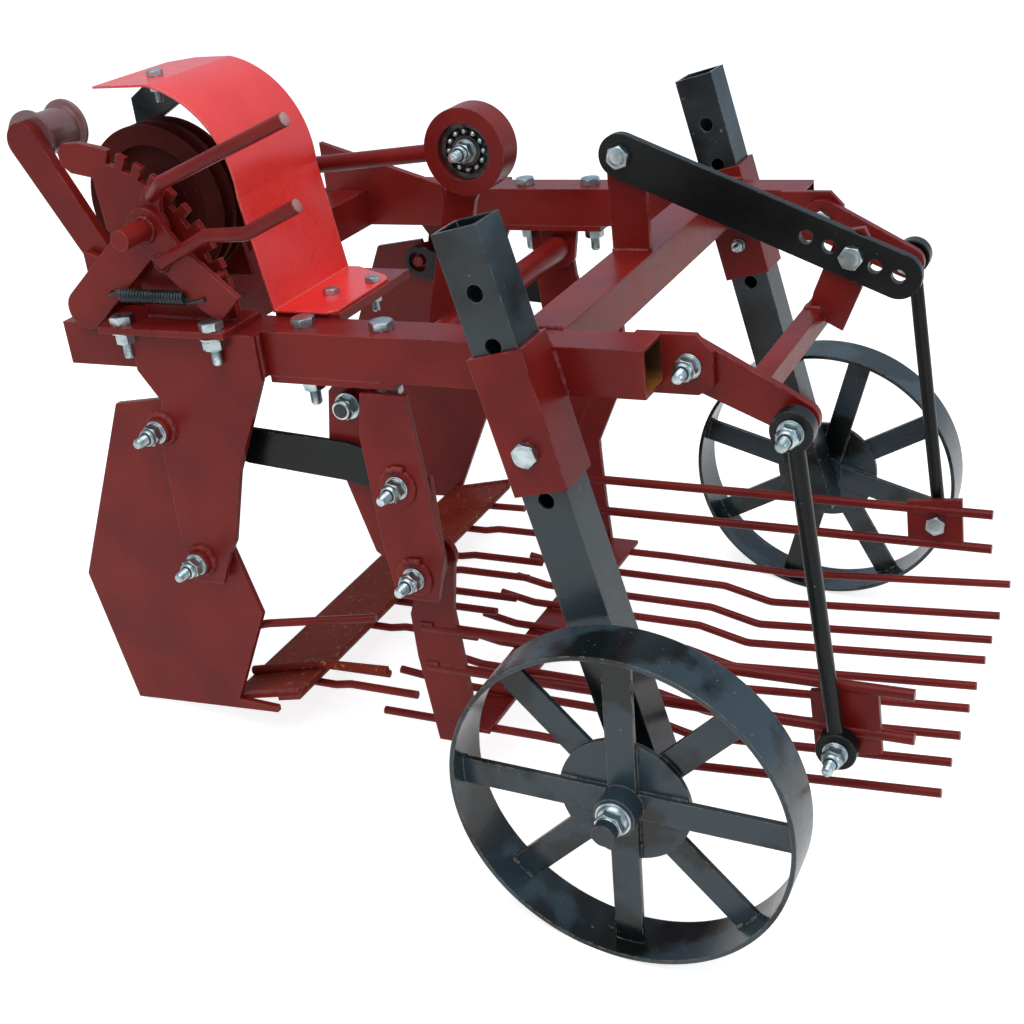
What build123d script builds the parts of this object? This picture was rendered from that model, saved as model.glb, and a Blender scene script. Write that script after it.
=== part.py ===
from build123d import *
import math
import os

# Potato digger with a shaken knife and sieve, for a walk-behind tractor.
# Everything is drawn in machine axes: X rearward from the front end of the
# side beams, Y to the right, Z up from the top of the beams. At export it is
# turned nose down, as it parks, resting on both wheels and both cheeks.

# Frame
TUBE = 40.0
TUBE_WALL = 3.0
FRAME_LENGTH = 562.0
FRAME_WIDTH = 500.0
OUTER = FRAME_WIDTH / 2
INNER = OUTER - TUBE
FRONT_TUBE_X = 20.0
REAR_TUBE_X = FRAME_LENGTH - 120.4
GUSSET = 6.0

# Wheels and their posts
WHEEL_X = FRAME_LENGTH - 13.0
WHEEL_Z = -360.0
WHEEL_RADIUS = 149.0
RIM_THICK = 4.0
RIM_WIDTH = 50.0
WHEEL_Y = OUTER + 78.5
SPOKES = 8
SPOKE_WIDTH = 25.0
SPOKE_THICK = 5.0
DISC_RADIUS = 57.5
HUB_RADIUS = 18.0
HUB_OUT = 27.0
HUB_IN = 30.0
AXLE_RADIUS = 10.0
AXLE_END = WHEEL_Y + 51.5
RUNNING = 0.1
LEFT_SPOKE_ANGLE = -2.0
RIGHT_SPOKE_ANGLE = 28.0
POST_ANGLE = 13.5
POST_UP = 478.0
POST_DOWN = 20.0
POST_PITCH = 43.2
POST_HOLES = 5
POST_TOP_HOLE = POST_UP - 50.2
POST_HOLE = 7.0
SLEEVE = 4.0
SLEEVE_LOW = 263.0
SLEEVE_HIGH = 380.0
POST_IN = OUTER + SLEEVE
POST_OUT = POST_IN + TUBE

# Shaken linkage, all pivots as (X, Z)
SHAFT = (66.0, 85.0)
THROW = 6.0
RING = (320.0, 101.0)
SWING = (285.0, -67.0)
ARM_HIGH = (330.0, -134.0)
ARM_LOW = (333.0, -222.0)
CHEEK_HIGH = (96.0, -93.0)
CHEEK_LOW = (110.0, -226.0)
ROCKER = (FRAME_LENGTH + 21.0, -26.0)
ROCKER_END = (FRAME_LENGTH + 106.0, -68.0)
ROD_END = (FRAME_LENGTH + 135.0, -354.0)
PIN = 6.0
FIT = 0.1

# Layers of flat steel, as (near, far) distances from the middle plane
STRAP = (OUTER + 6, OUTER + 12)
CHEEK = (OUTER - 6, OUTER)
LINK = (OUTER - 15, OUTER - 10)
ARM_OUTER = (OUTER - 4, OUTER + 2)
ARM_INNER = (INNER + 16, INNER + 22)
EAR = (INNER + 9, INNER + 15)
SIEVE_SIDE = (INNER - 8, INNER - 2)
REAR_LEVER = (INNER - 15, INNER - 7)
REAR_ROD = (INNER + 4, INNER + 18)

# Ground line through the lowest cheek corner, tangent to the wheels
CHEEK_TOE = (-21.0, -407.0)


def plate(points, y0, y1):
    """Polygon given as (X, Z), standing between two Y planes."""
    face = Plane.XZ * make_face(Polyline(*[(x, z) for x, z in points], close=True))
    return Pos(0, y1, 0) * extrude(face, amount=y1 - y0)


def left_plate(points, layer):
    """Polygon given as (X, Z) in one of the layers left of the middle."""
    return plate(points, -layer[1], -layer[0])


def pin(centre, radius, y0, y1):
    """Cylinder along Y at (X, Z), between two Y planes."""
    turned = Rot(90, 0, 0) * Cylinder(radius, y1 - y0)
    return Pos(centre[0], (y0 + y1) / 2, centre[1]) * turned


def bore(centre, radius):
    """Cutter along Y through the whole width."""
    return pin(centre, radius, -2 * OUTER, 2 * OUTER)


def turning(profile, centre):
    """Lathe-turned form on an axis along Y; profile points are (radius, Y)."""
    face = make_face(Polyline(*profile, close=True))
    return Pos(centre[0], 0, centre[1]) * revolve(face, axis=Axis.Y)


def box(x0, x1, y0, y1, z0, z1):
    middle = Pos((x0 + x1) / 2, (y0 + y1) / 2, (z0 + z1) / 2)
    return middle * Box(x1 - x0, y1 - y0, z1 - z0)


def along(start, end, distance):
    """Point at a distance from start on the line to end."""
    length = math.dist(start, end)
    return tuple(a + (b - a) * distance / length for a, b in zip(start, end))


def flat_bar(start, end, start_radius, end_radius, y0, y1):
    """Flat bar with round ends between two (X, Z) points, tapered or not."""
    length = math.dist(start, end)
    nx = (start[1] - end[1]) / length
    nz = (end[0] - start[0]) / length
    sides = [
        (start[0] + nx * start_radius, start[1] + nz * start_radius),
        (end[0] + nx * end_radius, end[1] + nz * end_radius),
        (end[0] - nx * end_radius, end[1] - nz * end_radius),
        (start[0] - nx * start_radius, start[1] - nz * start_radius),
    ]
    bar = plate(sides, y0, y1)
    return bar + pin(start, start_radius, y0, y1) + pin(end, end_radius, y0, y1)


def rod(points, radius, bend=10.0):
    """Round rod along a bent line of (X, Y, Z) points."""
    if len(points) == 2:
        path = Line(*points)
    else:
        path = FilletPolyline(*points, radius=bend)
    section = Plane(origin=path @ 0, z_dir=path % 0) * Circle(radius)
    return sweep(section, path=path)


def right(part):
    return mirror(part, about=Plane.XZ)


# Frame: two beams with a gusset at the front, and two cross tubes

GUSSET_TOP = [(7.0, 54.0), (157.0, 6.0)]
GUSSET_LAP = 1.0
TENSION_SHAFT = (35.0, 15.0)
TENSION_SHAFT_RADIUS = 10.0


def beam():
    outside = box(0, FRAME_LENGTH, -OUTER, -INNER, -TUBE, 0)
    inside = box(-1, FRAME_LENGTH + 1, -OUTER + TUBE_WALL, -INNER - TUBE_WALL,
                 -TUBE + TUBE_WALL, -TUBE_WALL)
    gusset = left_plate(GUSSET_TOP + [(157, -TUBE), (7, -TUBE)], (INNER - GUSSET, INNER + GUSSET_LAP))
    gusset -= box(0, FRONT_TUBE_X + TUBE, -INNER, INNER, -TUBE, 0)
    return outside - inside + gusset


def left_beam():
    return beam() - bore(TENSION_SHAFT, TENSION_SHAFT_RADIUS + FIT)


def cross_tube(x):
    outside = box(x, x + TUBE, -INNER, INNER, -TUBE, 0)
    inside = box(x + TUBE_WALL, x + TUBE - TUBE_WALL, -INNER - 1, INNER + 1,
                 -TUBE + TUBE_WALL, -TUBE_WALL)
    return outside - inside


# Hitch: two ears on an upright plate, bored for the drawbar pin

HITCH_PLATE = 8.0
HITCH_HALF = 45.0
HITCH_EAR_HALF = 30.0
HITCH_REACH = 60.0
HITCH_PIN_REACH = 35.0
HITCH_PIN_RADIUS = 8.5
HITCH_EARS = (18.0, -68.0)


def hitch_plate():
    face = FRONT_TUBE_X - HITCH_PLATE
    hitch = box(face, FRONT_TUBE_X, -HITCH_HALF, HITCH_HALF, -90, 60)
    for z in HITCH_EARS:
        hitch += box(face - HITCH_REACH, face, -HITCH_EAR_HALF, HITCH_EAR_HALF,
                     z, z + HITCH_PLATE)
    return hitch - Pos(face - HITCH_PIN_REACH, 0, 0) * Cylinder(HITCH_PIN_RADIUS, 4 * HITCH_REACH)


# Wheel posts, leaning back, in sleeves on the beams

POST_PLACE = Pos(WHEEL_X, 0, WHEEL_Z) * Rot(0, -POST_ANGLE, 0)
POST_COLLAR = 14.0
POST_COLLAR_GAP = 0.3


def post_sleeve():
    outside = box(-TUBE / 2 - SLEEVE, TUBE / 2 + SLEEVE, -POST_OUT - SLEEVE, -OUTER,
                  SLEEVE_LOW, SLEEVE_HIGH)
    inside = box(-TUBE / 2, TUBE / 2, -POST_OUT, -POST_IN, 0, POST_UP)
    return POST_PLACE * (outside - inside)


def wheel_post():
    outside = box(-TUBE / 2, TUBE / 2, -POST_OUT, -POST_IN, -POST_DOWN, POST_UP)
    inside = box(-TUBE / 2 + TUBE_WALL, TUBE / 2 - TUBE_WALL, -POST_OUT + TUBE_WALL,
                 -POST_IN - TUBE_WALL, -POST_DOWN - 1, POST_UP + 1)
    post = outside - inside
    for step in range(POST_HOLES):
        post -= bore((0, POST_TOP_HOLE - step * POST_PITCH), POST_HOLE)
    axle = pin((WHEEL_X, WHEEL_Z), AXLE_RADIUS, -AXLE_END, -POST_IN)
    collar_end = WHEEL_Y - HUB_IN - POST_COLLAR_GAP
    collar = pin((WHEEL_X, WHEEL_Z), POST_COLLAR, -collar_end, -POST_OUT)
    return POST_PLACE * post + axle + collar


# Wheels: a flat steel hoop on spokes that lie on both faces of a disc

def wheel(first_angle):
    centre = (WHEEL_X, WHEEL_Z)
    half_disc = SPOKE_THICK / 2
    body = pin(centre, WHEEL_RADIUS, -WHEEL_Y - RIM_WIDTH / 2, -WHEEL_Y + RIM_WIDTH / 2)
    body -= bore(centre, WHEEL_RADIUS - RIM_THICK)
    body += pin(centre, DISC_RADIUS, -WHEEL_Y - half_disc, -WHEEL_Y + half_disc)
    body += pin(centre, HUB_RADIUS, -WHEEL_Y - HUB_OUT, -WHEEL_Y + HUB_IN)
    for index in range(SPOKES):
        face = -half_disc - SPOKE_THICK if index % 2 == 0 else half_disc
        spoke = box(HUB_RADIUS - 4, WHEEL_RADIUS - RIM_THICK + 1, face, face + SPOKE_THICK,
                    -SPOKE_WIDTH / 2, SPOKE_WIDTH / 2)
        angle = first_angle + index * 360 / SPOKES
        body += Pos(WHEEL_X, -WHEEL_Y, WHEEL_Z) * Rot(0, -angle, 0) * spoke
    return body - bore(centre, AXLE_RADIUS + RUNNING)


# Brackets on the beams: ears for the swinging arms, lugs for the rear rocker

BRACKET_PLATE = 6.0
TORSION_RADIUS = 13.5


def arm_bracket():
    under = box(218, 340, -OUTER, -INNER, -TUBE - BRACKET_PLATE, -TUBE)
    ear = left_plate([(262, -46), (308, -46), (302, -80), (292, -90), (278, -90), (268, -80)],
                     EAR)
    return under + ear - bore(SWING, TORSION_RADIUS + RUNNING)


def rocker_lug():
    end = FRAME_LENGTH
    outline = [(end - 22, 0), (end + 28, 0), (end + 41, -14), (end + 41, -42),
               (end + 28, -50), (end - 14, -50)]
    lug = left_plate(outline, (INNER - GUSSET, INNER))
    return lug + pin(ROCKER, PIN, -INNER, -REAR_LEVER[0] + 4)


# Adjusting bar, from an upright on the rear cross tube to the rear rocker

UPRIGHT = (-3.0, 3.0)
BAR = (-11.0, -3.0)
BAR_RADIUS = 20.0
BAR_FRONT = (REAR_TUBE_X + 16.4, 89.0)
BAR_BOLT = (FRAME_LENGTH + 101.0, 2.0)
BAR_STEP = 21.3
BAR_SPARE_HOLES = 2


def bar_upright():
    x = REAR_TUBE_X
    up = plate([(x, 0), (x + 36, 0), (x + 36, 84), (x + 28, 100), (x + 6, 100), (x, 88)],
               *UPRIGHT)
    return up + pin(BAR_FRONT, PIN, BAR[0], 0)


def adjusting_bar():
    reach = math.dist(BAR_FRONT, BAR_BOLT)
    end = along(BAR_FRONT, BAR_BOLT, reach + BAR_SPARE_HOLES * BAR_STEP)
    bar = flat_bar(BAR_FRONT, end, BAR_RADIUS, BAR_RADIUS, *BAR)
    bar -= bore(BAR_FRONT, PIN + FIT)
    for step in range(-BAR_SPARE_HOLES, BAR_SPARE_HOLES + 1):
        bar -= bore(along(BAR_FRONT, BAR_BOLT, reach + step * BAR_STEP), PIN + FIT)
    return bar


def rear_rocker():
    near, far = REAR_LEVER
    lever = flat_bar(ROCKER, ROCKER_END, 20, 15.5, -far, -near)
    lever -= bore(ROCKER, PIN + FIT)
    lever += pin(ROCKER_END, PIN, -REAR_ROD[1] - 4, -near)
    end = FRAME_LENGTH
    cross = box(end + 56, end + 74, -near, near, -66, -48)
    centre = plate([(end + 60, -52), (end + 65, -33), (end + 83, 10), (end + 90, 22),
                    (end + 110, 25), (end + 116, 12), (end + 107, -29), (end + 90, -68)], *UPRIGHT)
    bolt = pin(BAR_BOLT, PIN, BAR[0], 0)
    return lever + right(lever) + cross + centre + bolt


# Straps, and the cheeks that rock on their lower pins

def cheek_strap():
    outline = [(84, 0), (84, -38), (103, -66), (92, -110), (90, -236), (100, -250),
               (128, -250), (143, -217), (152, -203), (173, -131), (216, -41), (216, 0)]
    strap = left_plate(outline, STRAP)
    strap += box(84, 216, -STRAP[0], -OUTER, -TUBE, 0)
    return strap + pin(CHEEK_LOW, PIN, -STRAP[0], -CHEEK[0])


def cheek():
    outline = [(39, -78), (98, -69), (156, -286), (107, -389), (151, -391), (151, -397),
               CHEEK_TOE, (-48, -266)]
    side = left_plate(outline, CHEEK) - bore(CHEEK_LOW, PIN + FIT)
    return side + pin(CHEEK_HIGH, PIN, -CHEEK[0], -LINK[0])


BLADE_FRONT = (95.0, -389.0)
BLADE_REAR = (178.0, -371.0)
BLADE_THICK = 6.0
ROD_RADIUS = 4.0
SIDE_ROD = [(118, -CHEEK[0] + 2, -312), (150, -CHEEK[0] + 6, -303), (253, -INNER + 5, -301)]
BLADE_ROD = [(95, -INNER + 6, -385), (178, -INNER + 10, -367), (250, -INNER + 13, -365)]


def blade_top(x):
    return along(BLADE_FRONT, BLADE_REAR, math.dist(BLADE_FRONT, BLADE_REAR)
                 * (x - BLADE_FRONT[0]) / (BLADE_REAR[0] - BLADE_FRONT[0]))[1]


def knife():
    rear_x, rear_z = BLADE_REAR
    outline = [BLADE_FRONT, BLADE_REAR, (rear_x, rear_z - BLADE_THICK),
               (BLADE_FRONT[0] + 14, blade_top(BLADE_FRONT[0] + 14) - BLADE_THICK)]
    blade = plate(outline, -CHEEK[0], CHEEK[0])
    return blade + rod(BLADE_ROD, ROD_RADIUS + 0.5, 20)


# Comb: a strip under the blade with rods that reach back to the sieve

COMB_STRIP = (150.0, 176.0)
COMB_STRIP_THICK = 4.0
COMB_Z = -385.0
COMB_DIP = -388.5
COMB_RODS = [
    # side (-1 left, 1 right), distance in from the cheek, X of the free end
    (-1, 43, 283),
    (-1, 73, 235),
    (-1, 157, 292),
    (-1, 210, 289),
    (-1, 241, 297),
    (1, 202, 292),
    (1, 166, 292),
    (1, 100, 263),
    (1, 39, 213),
]


def comb():
    x0, x1 = COMB_STRIP
    z0 = blade_top(x0) - BLADE_THICK
    z1 = blade_top(x1) - BLADE_THICK
    strip = plate([(x0, z0), (x1, z1), (x1, z1 - COMB_STRIP_THICK), (x0, z0 - COMB_STRIP_THICK)],
                  -CHEEK[0], CHEEK[0])
    for hand, inset, end in COMB_RODS:
        y = hand * (CHEEK[0] - inset)
        line = [(154, y, COMB_DIP), (190, y, COMB_DIP), (208, y, COMB_Z), (end, y, COMB_Z)]
        if end < 240:
            line = [line[0], (end, y, COMB_Z - 2)]
        strip += rod(line, ROD_RADIUS, 15)
    return strip


# Swinging arms on a torsion tube, driven by the lever at the ring

def torsion_tube():
    tube = pin(SWING, TORSION_RADIUS, -ARM_INNER[0], ARM_INNER[0])
    return tube - bore(SWING, PIN + FIT)


def arm_pins():
    """High pin into the link strip, low pin with its collar into the sieve side."""
    low = pin(ARM_LOW, PIN, -ARM_INNER[1], -SIEVE_SIDE[0])
    collar = pin(ARM_LOW, 2 * PIN, -ARM_INNER[0], -SIEVE_SIDE[1] - 0.3)
    high = pin(ARM_HIGH, PIN, -ARM_OUTER[0], -ARM_INNER[0])
    return low + collar + high


def left_swing_arm():
    inner = left_plate([(262, -58), (268, -52), (302, -52), (308, -58), (326, -116), (350, -134),
                        (352, -222), (345, -240), (322, -240), (284, -212), (254, -105)],
                       ARM_INNER)
    outer = left_plate([(306, -50), (349, -50), (364, -202), (352, -245), (312, -245),
                        (305, -194), (299, -90)], ARM_OUTER)
    web = plate([(303, -170), (312, -170), (316, -205), (306, -205)],
                -ARM_OUTER[0], -ARM_INNER[1])
    return inner + outer + web + arm_pins() - bore(SWING, PIN + FIT)


def right_swing_arm():
    outline = [(249, -60), (256, -52), (288, -52), (296, -62), (299, -101), (304, -118),
               (340, -118), (349, -134), (351, -222), (344, -238), (308, -244), (309, -308),
               (301, -316), (276, -316), (253, -137)]
    return right(left_plate(outline, ARM_INNER) + arm_pins() - bore(SWING, PIN + FIT))


LEVER = (-11.0, -3.0)
LEVER_BOSS = 18.0


def ring_lever():
    outline = [(276, 47), (241, -76), (262, -90), (288, -88), (300, -72), (290, -30), (309, 47),
               (337, 95), (303, 95)]
    lever = plate(outline, *LEVER) + pin(RING, LEVER_BOSS, *LEVER)
    lever -= bore(SWING, TORSION_RADIUS)
    return lever + pin(RING, PIN, RING_WIDTH[0] - 4, LEVER[1])


# Connecting rod: a bearing housing at each end of a round bar

RING_WIDTH = (-42.0, -12.0)
RING_RADIUS = 40.0
BEARING_RADIUS = 26.0
JOURNAL_RADIUS = 15.0
HOUSING_BORE = 31.0
ROD_BAR_RADIUS = 8.0
BEARING_WIDTH = (-36.0, -20.0)
JOURNAL = (SHAFT[0], SHAFT[1] - THROW)


def connecting_rod():
    ring = pin(RING, RING_RADIUS, *RING_WIDTH) - bore(RING, BEARING_RADIUS + FIT)
    eye = pin(JOURNAL, RING_RADIUS, *RING_WIDTH) - bore(JOURNAL, HOUSING_BORE)
    start = along(JOURNAL, RING, RING_RADIUS - 2)
    end = along(RING, JOURNAL, RING_RADIUS - 2)
    middle = sum(RING_WIDTH) / 2
    bar = rod([(start[0], middle, start[1]), (end[0], middle, end[1])], ROD_BAR_RADIUS)
    return ring + eye + bar


def ring_bearing():
    near, far = BEARING_WIDTH
    outer = pin(RING, BEARING_RADIUS, near, far) - bore(RING, BEARING_RADIUS - 5)
    inner = pin(RING, 14, near, far)
    web = pin(RING, BEARING_RADIUS - 5, near + 5, far - 5)
    return outer + web + inner - bore(RING, PIN + FIT)


LINK_RADIUS = 17.5


def link_strip():
    outline = [(101, -76), (177, -97), (275, -103), (334, -117), (326, -151), (268, -139),
               (169, -131), (91, -110)]
    strip = left_plate(outline, LINK)
    for centre in (CHEEK_HIGH, ARM_HIGH):
        strip += pin(centre, LINK_RADIUS, -LINK[1], -LINK[0])
    return strip - bore(ARM_HIGH, PIN + FIT) - bore(CHEEK_HIGH, 2 * PIN)


# Sieve: rods over and under one cross strip, hung between two sides

SIEVE_STRIP = (316.0, 357.0)
STRIP_TOP = -412.0
STRIP_THICK = 4.0
SIEVE_REAR_Z = -408.0
WELD = 0.5
SIEVE_DIP = -424.0
SIEVE_RODS = [
    # side (-1 left, 1 right), distance in from the sieve side, X of the front end,
    # whether the rod lies on top of the strip
    (1, 16, 258, False),
    (1, 83, 258, True),
    (1, 131, 263, True),
    (1, 170, 262, True),
    (-1, 187, 263, True),
    (-1, 148, 260, True),
    (-1, 103, 258, True),
    (-1, 61, 230, True),
    (-1, 15, 234, False),
]


def sieve():
    width = SIEVE_SIDE[0]
    grid = box(*SIEVE_STRIP, -width, width, STRIP_TOP - STRIP_THICK, STRIP_TOP)
    rear = FRAME_LENGTH + 214
    over = STRIP_TOP + ROD_RADIUS - WELD
    under = STRIP_TOP - STRIP_THICK - ROD_RADIUS + WELD
    for hand, inset, front, on_top in SIEVE_RODS:
        y = hand * (width - inset)
        if on_top:
            line = [(front, y, over + 8), (300, y, over), (489, y, over - 2),
                    (540, y, SIEVE_DIP), (rear, y, SIEVE_REAR_Z)]
        else:
            line = [(front, y, under), (400, y, under), (545, y, SIEVE_DIP),
                    (rear, y, SIEVE_REAR_Z)]
        grid += rod(line, ROD_RADIUS, 30)
    return grid


def sieve_side(leg, hanger, rails, rail_end):
    """Leg with its eye, two rails and the plate of the rear rod, as one side."""
    side = left_plate(leg, SIEVE_SIDE) + pin(ARM_LOW, LINK_RADIUS, -SIEVE_SIDE[1], -SIEVE_SIDE[0])
    side -= bore(ARM_LOW, PIN + FIT)
    side += left_plate(hanger, SIEVE_SIDE)
    middle = -sum(SIEVE_SIDE) / 2
    for z in rails:
        side += rod([(304, middle, z), (rail_end, middle, z)], ROD_RADIUS + 1)
    return side + pin(ROD_END, PIN, -REAR_ROD[1] - 4, -SIEVE_SIDE[0])


def left_sieve_side():
    end = FRAME_LENGTH
    leg = [(316, -228), (294, -289), (295, -335), (305, -427), (345, -427), (346, -369),
           (340, -279), (348, -228)]
    hanger = [(end + 109, -311), (end + 166, -302), (end + 169, -363), (end + 113, -374)]
    return sieve_side(leg, hanger, (-302, -345), end + 195)


def right_sieve_side():
    end = FRAME_LENGTH
    leg = [(316, -228), (288, -289), (284, -427), (324, -427), (321, -365), (319, -290),
           (348, -228)]
    hanger = [(end + 104, -330), (end + 161, -324), (end + 163, -376), (end + 106, -381)]
    return right(sieve_side(leg, hanger, (-339, -379), end + 192))


def rear_rod():
    near, far = REAR_ROD
    eyes = pin(ROCKER_END, 14, -far, -near) + pin(ROD_END, 14, -far, -near)
    start = along(ROCKER_END, ROD_END, 8)
    end = along(ROD_END, ROCKER_END, 8)
    middle = -(near + far) / 2
    bar = rod([(start[0], middle, start[1]), (end[0], middle, end[1])], 6.9)
    return eyes + bar - bore(ROCKER_END, PIN + FIT) - bore(ROD_END, PIN + 2)


# Drive: bearing plates, eccentric shaft and belt pulley

PULLEY_RADIUS = 73.0
GROOVE_RADIUS = 61.0
SHAFT_PLATE = 6.0
LEFT_SHAFT_PLATE_Y = -INNER + 105.0
RIGHT_SHAFT_PLATE_Y = 30.0
SHAFT_END = -INNER + 30.0
PULLEY_Y = -INNER + 60.0


def shaft_plate(y):
    stand = plate([(20, 0), (112, 0), (96, 85), (84, 108), (48, 108), (36, 85)],
                  y, y + SHAFT_PLATE)
    foot = box(FRONT_TUBE_X, FRONT_TUBE_X + TUBE, y - 8, y + 14, 0, 5)
    housing = pin(SHAFT, 30, y - 6, y + 12)
    return stand + foot + housing - bore(SHAFT, JOURNAL_RADIUS + RUNNING)


def drive_shaft():
    journal = pin(JOURNAL, JOURNAL_RADIUS, -44, -10)
    return pin(SHAFT, JOURNAL_RADIUS, SHAFT_END, -40) + journal + pin(SHAFT, JOURNAL_RADIUS, -14, 52)


def drive_pulley():
    rim = PULLEY_RADIUS
    low = GROOVE_RADIUS
    profile = [
        (JOURNAL_RADIUS, -22), (26, -22), (26, -6), (55, -6), (55, -18), (rim, -18),
        (rim, -15.5), (low, -12.5), (low, -5.5), (rim, -2.5),
        (rim, 2.5), (low, 5.5), (low, 12.5), (rim, 15.5),
        (rim, 18), (55, 18), (55, 6), (26, 6), (26, 22), (JOURNAL_RADIUS, 22),
    ]
    return Pos(0, PULLEY_Y, 0) * turning(profile, SHAFT)


# Belt guard: sheet rolled over the pulley, with a flange on its foot

SHEET = 2.0
GUARD_TOP = 201.0
GUARD_FRONT = 62.0
GUARD_NEAR = -INNER - 3.0
GUARD_FAR = -INNER + 124.0
FLANGE_TOP = 6.0
GUARD_ROLL = [(118.0, 201.0), (163.0, 177.0), (192.0, 105.0)]
GUARD_FOOT_X = 208.0
FLANGE_REAR = 268.0


def belt_guard():
    start, middle, end = GUARD_ROLL
    low = FLANGE_TOP - SHEET
    outer = [
        Line((GUARD_FRONT, GUARD_TOP), start),
        ThreePointArc(start, middle, end),
        Line(end, (GUARD_FOOT_X, FLANGE_TOP)),
        Line((GUARD_FOOT_X, FLANGE_TOP), (GUARD_FOOT_X, low)),
    ]
    inside_start = (start[0], start[1] - SHEET)
    inside_end = (end[0] - SHEET, end[1] - 0.3)
    inner = [
        Line((GUARD_FOOT_X, low), (GUARD_FOOT_X - SHEET, low)),
        Line((GUARD_FOOT_X - SHEET, low), inside_end),
        ThreePointArc(inside_end, (middle[0] - 1.5, middle[1] - 1.4), inside_start),
        Line(inside_start, (GUARD_FRONT, GUARD_TOP - SHEET)),
        Line((GUARD_FRONT, GUARD_TOP - SHEET), (GUARD_FRONT, GUARD_TOP)),
    ]
    sheet = Plane.XZ * make_face(outer + inner)
    guard = Pos(0, GUARD_FAR, 0) * extrude(sheet, amount=GUARD_FAR - GUARD_NEAR)
    flange_plan = [
        (GUARD_FOOT_X - SHEET, GUARD_NEAR), (FLANGE_REAR - 8, GUARD_NEAR),
        (FLANGE_REAR, GUARD_NEAR + 8), (FLANGE_REAR, GUARD_FAR - 32),
        (FLANGE_REAR - 8, GUARD_FAR - 22), (GUARD_FOOT_X + 12, GUARD_FAR),
        (GUARD_FOOT_X - SHEET, GUARD_FAR),
    ]
    flange = extrude(make_face(Polyline(*flange_plan, close=True)), amount=SHEET)
    guard += Pos(0, 0, low) * flange
    corner = [(GUARD_FRONT - 1, GUARD_FAR - 22), (GUARD_FRONT + 19, GUARD_FAR + 1),
              (GUARD_FRONT - 1, GUARD_FAR + 1)]
    cut = extrude(make_face(Polyline(*corner, close=True)), amount=GUARD_TOP + 1)
    return guard - cut


GUARD_STRIP = (-INNER + 92.0, -INNER + 97.0)
STRIP_TAB_END = -INNER + 24.0


def guard_strip():
    under = GUARD_TOP - SHEET
    upright = plate([(22, 0), (46, 0), (46, 150), (112, 186), (112, under), (80, under),
                     (62, 197), (22, 172)], *GUARD_STRIP)
    return upright + box(86, 112, STRIP_TAB_END, GUARD_STRIP[1], under - 3, under)


def guard_foot():
    return box(GUARD_FOOT_X - SHEET, FLANGE_REAR + 4, -INNER, GUARD_FAR + 2, -4, FLANGE_TOP - SHEET)


# Belt tensioner: notched quadrant, lever with the roller arm, and pawl

PLATE = 6.0
ROLLER = (-42.0, 152.0)
ROLLER_PIN = 8.0
ROLLER_ARM = (-INNER + 8, -INNER + 18)
ROLLER_WIDTH = (ROLLER_ARM[1] + 2, ROLLER_ARM[1] + 52)
QUADRANT_CENTRE = (40.0, 10.0)
NOTCH_TIP = 151.0
NOTCH_FLOOR = 139.0
NOTCHES = 10
NOTCH_PITCH = 6.9
FIRST_TOOTH = 75.0
QUADRANT = (OUTER - 13, OUTER - 7)
LEVER_LAYER = (OUTER, OUTER + 6)
PAWL_LAYER = (OUTER + 6, OUTER + 12)
LEVER_HUB = (126.0, 91.0)
LEVER_RADIUS = 18.5
HUB_PIN = 9.0
HANDLE = 6.0
HANDLE_Y = -OUTER - 13
GRIP_FOOT = (134.0, 117.0)


def tension_base():
    base = box(41, 195, -OUTER, -INNER - 6, 0, PLATE)
    base += box(62, 195, -OUTER - 25, -OUTER, 0, PLATE)
    bush = pin(TENSION_SHAFT, TENSION_SHAFT[1], -OUTER, -INNER - GUSSET_LAP)
    return base + bush - bore(TENSION_SHAFT, TENSION_SHAFT_RADIUS + FIT)


def on_quadrant(radius, degrees):
    angle = math.radians(degrees)
    return (QUADRANT_CENTRE[0] + radius * math.cos(angle),
            QUADRANT_CENTRE[1] + radius * math.sin(angle))


def quadrant():
    outline = [(93, PLATE), (93, 43), (74, 79), (69, 85), (66, 130), (44, 134), (35, 141),
               (34, 152), (40, 159), (56, 160)]
    for index in range(NOTCHES):
        tooth = FIRST_TOOTH - index * NOTCH_PITCH
        floor = tooth - NOTCH_PITCH / 2
        outline += [on_quadrant(NOTCH_TIP, tooth), on_quadrant(NOTCH_TIP, floor),
                    on_quadrant(NOTCH_FLOOR, floor), on_quadrant(NOTCH_FLOOR, tooth - NOTCH_PITCH)]
    last = FIRST_TOOTH - NOTCHES * NOTCH_PITCH
    outline += [on_quadrant(NOTCH_TIP, last), (190, PLATE)]
    return left_plate(outline, QUADRANT)


def roller_arm():
    arm = flat_bar(ROLLER, TENSION_SHAFT, 17, 14.5, *ROLLER_ARM)
    arm += pin(ROLLER, ROLLER_PIN, ROLLER_ARM[0], ROLLER_WIDTH[1] + 4)
    arm += pin(TENSION_SHAFT, TENSION_SHAFT_RADIUS, -LEVER_LAYER[1], ROLLER_ARM[0])
    near, far = LEVER_LAYER
    arm += flat_bar(TENSION_SHAFT, LEVER_HUB, LEVER_RADIUS, LEVER_RADIUS, -far, -near)
    arm += flat_bar(LEVER_HUB, GRIP_FOOT, 12, 9, -far, -near)
    arm += pin(LEVER_HUB, HUB_PIN, -far - 40, -far)
    arm -= bore_at_spring_front()
    grip = [(GRIP_FOOT[0], -near - 3, GRIP_FOOT[1]), (154, HANDLE_Y, 131),
            (286, HANDLE_Y, 181)]
    return arm + rod(grip, HANDLE, 15)


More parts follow.
